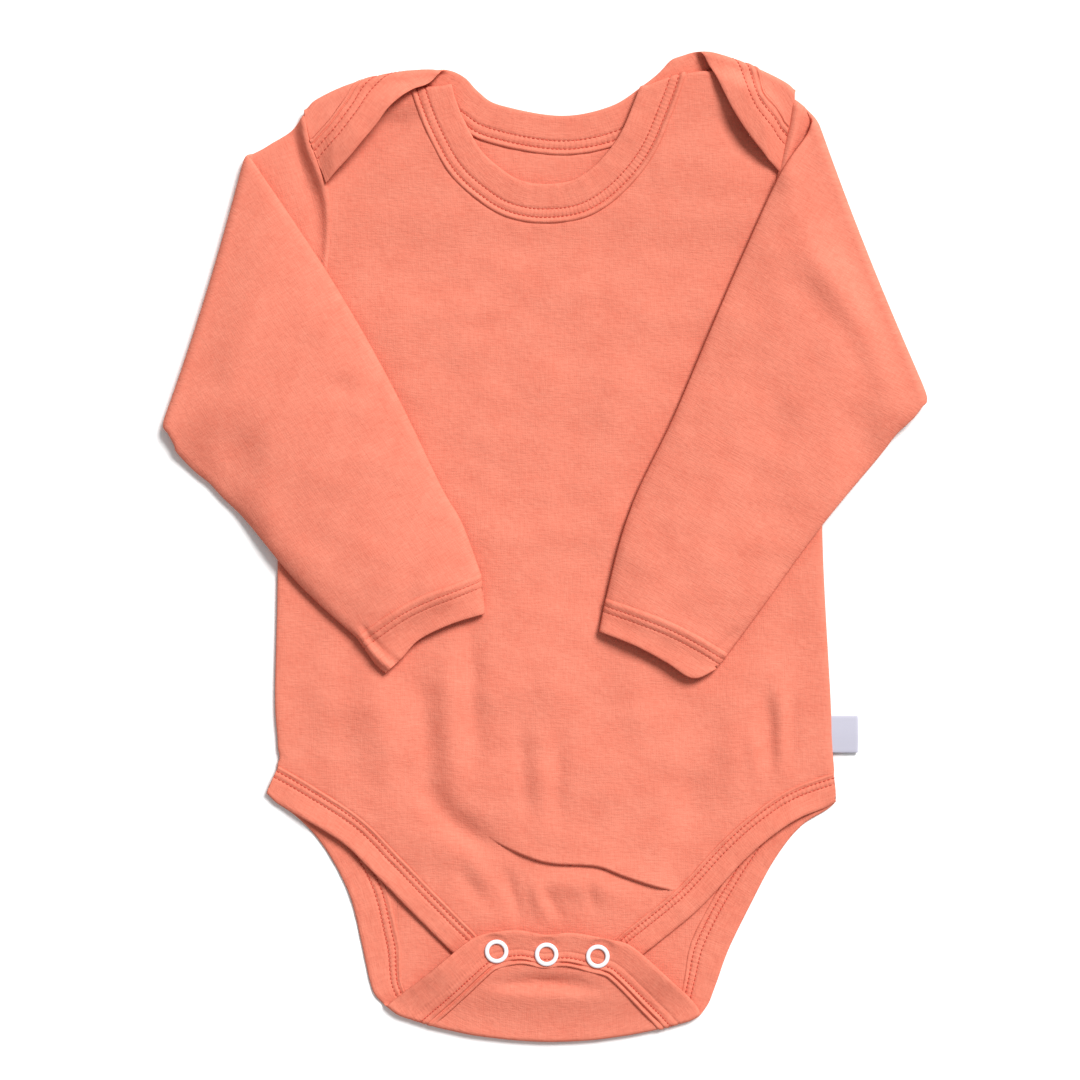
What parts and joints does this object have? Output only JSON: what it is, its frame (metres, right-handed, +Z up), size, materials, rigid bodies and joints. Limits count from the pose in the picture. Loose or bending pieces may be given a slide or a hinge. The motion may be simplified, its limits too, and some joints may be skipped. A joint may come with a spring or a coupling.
{
  "type": "baby bodysuit",
  "caption": "Long-sleeved jersey baby bodysuit laid flat face up, with lap shoulders, bound edges, sleeves folded across the front and a snapped crotch flap",
  "frame": {"origin": "on the surface that the garment lies on, under the middle of its outline", "axes": "+Y towards the neck along the garment's length, +X to the right as seen from above, +Z up out of the surface"},
  "size_m": [0.3061, 0.3971, 0.0082],
  "materials": {
    "jersey": "coral cotton jersey",
    "binding": "coral jersey binding, turned in and stitched",
    "snap": "white lacquer",
    "ribbon": "plain white woven ribbon"
  },
  "bodies": {
    "root": {"front": "jersey", "back": "jersey", "sleeve_left": "jersey", "sleeve_right": "jersey", "cuff_left": "binding", "cuff_right": "binding", "neck_binding_front": "binding", "neck_binding_back": "binding", "leg_binding_front": "binding", "leg_binding_back": "binding", "snap_ring_1": "snap", "snap_ring_2": "snap", "snap_ring_3": "snap", "snap_socket_1": "snap", "snap_socket_2": "snap", "snap_socket_3": "snap", "snap_stud_1": "snap", "snap_stud_2": "snap", "snap_stud_3": "snap", "snap_back_ring_1": "snap", "snap_back_ring_2": "snap", "snap_back_ring_3": "snap", "label": "ribbon"}
  },
  "joints": []
}
